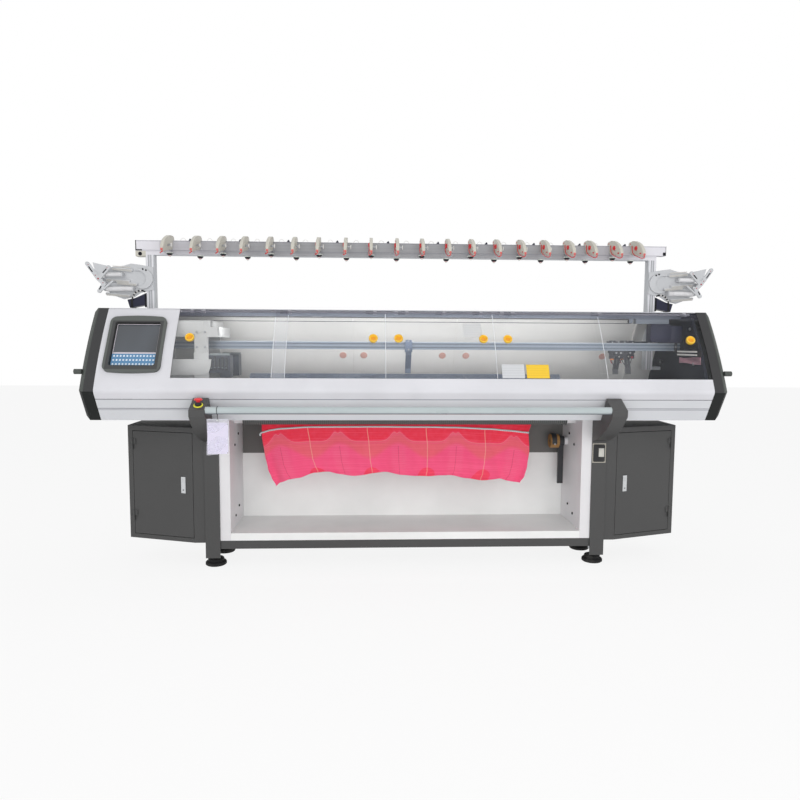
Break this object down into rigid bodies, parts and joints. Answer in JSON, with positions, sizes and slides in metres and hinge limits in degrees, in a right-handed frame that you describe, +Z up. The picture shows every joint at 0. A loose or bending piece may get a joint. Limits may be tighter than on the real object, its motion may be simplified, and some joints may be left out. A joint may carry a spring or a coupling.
{
  "type": "flat knitting machine",
  "caption": "Computerised flat knitting machine with covered needle beds, lifting windows, control panel, yarn stand with tension units, side feeders, fabric bin and two cabinets.",
  "frame": {"origin": "centre of the machine's footprint on the floor", "axes": "+X towards the right-hand cabinet seen from the front, +Y from the front to the back, +Z up"},
  "size_m": [3.828, 0.9, 1.93],
  "materials": {
    "dark_frame": "satin",
    "white_paint": "satin",
    "grey_paint": "satin",
    "silver_paint": "satin",
    "cover_white": "satin",
    "carriage_paint": "satin",
    "cast_body": "cast",
    "bed_steel": "ground",
    "bar_steel": "satin",
    "light_aluminium": "satin",
    "roller_aluminium": "polished",
    "latch_chrome": "polished",
    "foot_rubber": "matte",
    "belt_rubber": "matte",
    "roller_rubber": "matte",
    "cap_plastic": "satin",
    "bezel_plastic": "satin",
    "keypad_plastic": "satin",
    "unit_black": "satin",
    "beige_plastic": "satin",
    "cup_plastic": "satin",
    "yellow_plastic": "gloss",
    "knob_yellow": "gloss",
    "red_plastic": "gloss",
    "window_clear": "clear",
    "screen_glass": "satin",
    "pouch_film": "clear film",
    "knit": "knitted",
    "disc_wood": "matte"
  },
  "bodies": {
    "frame": {"stands": "dark_frame", "bin_sides": "white_paint", "base_rails": "dark_frame", "levelling_feet": "foot_rubber", "fabric_bin": "white_paint", "take_down_cover": "grey_paint", "bed_beam": "cast_body", "front_needle_bed": "bed_steel", "rear_needle_bed": "bed_steel", "end_frames": "grey_paint", "belt_drive": "belt_rubber", "top_beam": "light_aluminium", "yarn_rails": "light_aluminium", "front_cover": "cover_white", "lower_front_panel": "silver_paint", "roof_panel": "silver_paint", "left_end_cap": "cap_plastic", "right_end_cap": "cap_plastic", "rear_casing": "cover_white", "control_bezel": "bezel_plastic", "control_screen": "screen_glass", "control_keypad": "keypad_plastic", "stop_button_base": "yellow_plastic", "left_cabinet": "dark_frame", "right_cabinet": "dark_frame", "drive_units": "unit_black", "knitted_fabric": "knit", "document_pouch": "pouch_film", "yarn_stand": "light_aluminium", "tension_units": "beige_plastic", "yarn_cups": "cup_plastic", "side_feeders": "light_aluminium"},
    "carriage": {"carriage_frame": "carriage_paint", "yarn_changer": "unit_black"},
    "carrier_1": {"yarn_carrier_1": "grey_paint"},
    "carrier_2": {"yarn_carrier_2": "unit_black"},
    "carrier_3": {"yarn_carrier_3": "unit_black"},
    "left_window_cover": {"left_window": "window_clear", "left_window_knobs": "knob_yellow"},
    "middle_window_cover": {"middle_window": "window_clear", "middle_window_knobs": "knob_yellow"},
    "right_window_cover": {"right_window": "window_clear", "right_window_knobs": "knob_yellow"},
    "left_back_cover": {"left_rear_cover": "cover_white"},
    "middle_back_cover": {"middle_rear_cover": "cover_white"},
    "right_back_cover": {"right_rear_cover": "cover_white"},
    "start_bar": {"operating_bar": "bar_steel"},
    "stop_head": {"stop_button": "red_plastic"},
    "left_door_leaf": {"left_door": "dark_frame"},
    "right_door_leaf": {"right_door": "dark_frame"},
    "left_paddle": {"left_latch": "latch_chrome"},
    "right_paddle": {"right_latch": "latch_chrome"},
    "front_roller": {"front_take_down_roller": "roller_rubber"},
    "rear_roller": {"rear_take_down_roller": "roller_rubber"},
    "lever": {"release_lever": "unit_black", "release_disc": "disc_wood"},
    "left_upper_feed": {"left_upper_feed_roller": "roller_aluminium"},
    "left_lower_feed": {"left_lower_feed_roller": "roller_aluminium"},
    "right_upper_feed": {"right_upper_feed_roller": "roller_aluminium"},
    "right_lower_feed": {"right_lower_feed_roller": "roller_aluminium"}
  },
  "joints": [
    {"name": "carriage_travel", "type": "slide", "parent": "frame", "child": "carriage", "axis": [1, 0, 0], "range_m": [0, 2.44]},
    {"name": "carrier_1_travel", "type": "slide", "parent": "frame", "child": "carrier_1", "axis": [1, 0, 0], "range_m": [-1.3, 1.3]},
    {"name": "carrier_2_travel", "type": "slide", "parent": "frame", "child": "carrier_2", "axis": [1, 0, 0], "range_m": [-2.2, 0.08]},
    {"name": "carrier_3_travel", "type": "slide", "parent": "frame", "child": "carrier_3", "axis": [1, 0, 0], "range_m": [-2.3, 0]},
    {"name": "left_window_hinge", "type": "hinge", "parent": "frame", "child": "left_window_cover", "pos_m": [0, -0.10408, 1.46041], "axis": [-1, 0, 0], "range_deg": [0, 110]},
    {"name": "middle_window_hinge", "type": "hinge", "parent": "frame", "child": "middle_window_cover", "pos_m": [0, -0.10408, 1.46041], "axis": [-1, 0, 0], "range_deg": [0, 110]},
    {"name": "right_window_hinge", "type": "hinge", "parent": "frame", "child": "right_window_cover", "pos_m": [0, -0.10408, 1.46041], "axis": [-1, 0, 0], "range_deg": [0, 110]},
    {"name": "left_back_hinge", "type": "hinge", "parent": "frame", "child": "left_back_cover", "pos_m": [0, 0.19768, 1.46041], "axis": [1, 0, 0], "range_deg": [0, 100]},
    {"name": "middle_back_hinge", "type": "hinge", "parent": "frame", "child": "middle_back_cover", "pos_m": [0, 0.19768, 1.46041], "axis": [1, 0, 0], "range_deg": [0, 100]},
    {"name": "right_back_hinge", "type": "hinge", "parent": "frame", "child": "right_back_cover", "pos_m": [0, 0.19768, 1.46041], "axis": [1, 0, 0], "range_deg": [0, 100]},
    {"name": "start_bar_turn", "type": "hinge", "parent": "frame", "child": "start_bar", "pos_m": [0, -0.425, 0.935], "axis": [1, 0, 0], "range_deg": [-12, 12], "stiffness_Nm_per_rad": 4},
    {"name": "stop_press", "type": "slide", "parent": "frame", "child": "stop_head", "axis": [0, 0, -1], "range_m": [0, 0.006], "stiffness_N_per_m": 900},
    {"name": "right_door_hinge", "type": "hinge", "parent": "frame", "child": "right_door_leaf", "pos_m": [1.59177, -0.02768, 0.475], "axis": [0, 0, 1], "range_deg": [0, 110]},
    {"name": "left_door_hinge", "type": "hinge", "parent": "frame", "child": "left_door_leaf", "pos_m": [-1.59177, -0.02768, 0.475], "axis": [0, 0, -1], "range_deg": [0, 110]},
    {"name": "right_latch_pivot", "type": "hinge", "parent": "right_door_leaf", "child": "right_paddle", "pos_m": [1.27588, -0.11485, 0.52], "axis": [-0.954, -0.2997, 0], "range_deg": [0, 40]},
    {"name": "left_latch_pivot", "type": "hinge", "parent": "left_door_leaf", "child": "left_paddle", "pos_m": [-1.27588, -0.11485, 0.52], "axis": [-0.954, 0.2997, 0], "range_deg": [0, 40]},
    {"name": "front_roller_turn", "type": "hinge", "parent": "frame", "child": "front_roller", "pos_m": [0, 0.0155, 0.838], "axis": [1, 0, 0], "continuous": true},
    {"name": "rear_roller_turn", "type": "hinge", "parent": "frame", "child": "rear_roller", "pos_m": [0, 0.0781, 0.838], "axis": [1, 0, 0], "continuous": true},
    {"name": "release_lever_pivot", "type": "hinge", "parent": "frame", "child": "lever", "pos_m": [0.95, 0.15, 0.69], "axis": [-1, 0, 0], "range_deg": [0, 55]},
    {"name": "left_lower_feed_turn", "type": "hinge", "parent": "frame", "child": "left_lower_feed", "pos_m": [-1.727, 0.216, 1.607], "axis": [1, 0, 0], "continuous": true},
    {"name": "left_upper_feed_turn", "type": "hinge", "parent": "frame", "child": "left_upper_feed", "pos_m": [-1.762, 0.216, 1.692], "axis": [1, 0, 0], "continuous": true},
    {"name": "right_lower_feed_turn", "type": "hinge", "parent": "frame", "child": "right_lower_feed", "pos_m": [1.727, 0.216, 1.607], "axis": [1, 0, 0], "continuous": true},
    {"name": "right_upper_feed_turn", "type": "hinge", "parent": "frame", "child": "right_upper_feed", "pos_m": [1.762, 0.216, 1.692], "axis": [1, 0, 0], "continuous": true}
  ],
  "couplings": [
    {"joint": "rear_roller_turn", "follows": "front_roller_turn", "ratio": -1},
    {"joint": "left_upper_feed_turn", "follows": "left_lower_feed_turn", "ratio": 1},
    {"joint": "right_upper_feed_turn", "follows": "right_lower_feed_turn", "ratio": 1}
  ]
}
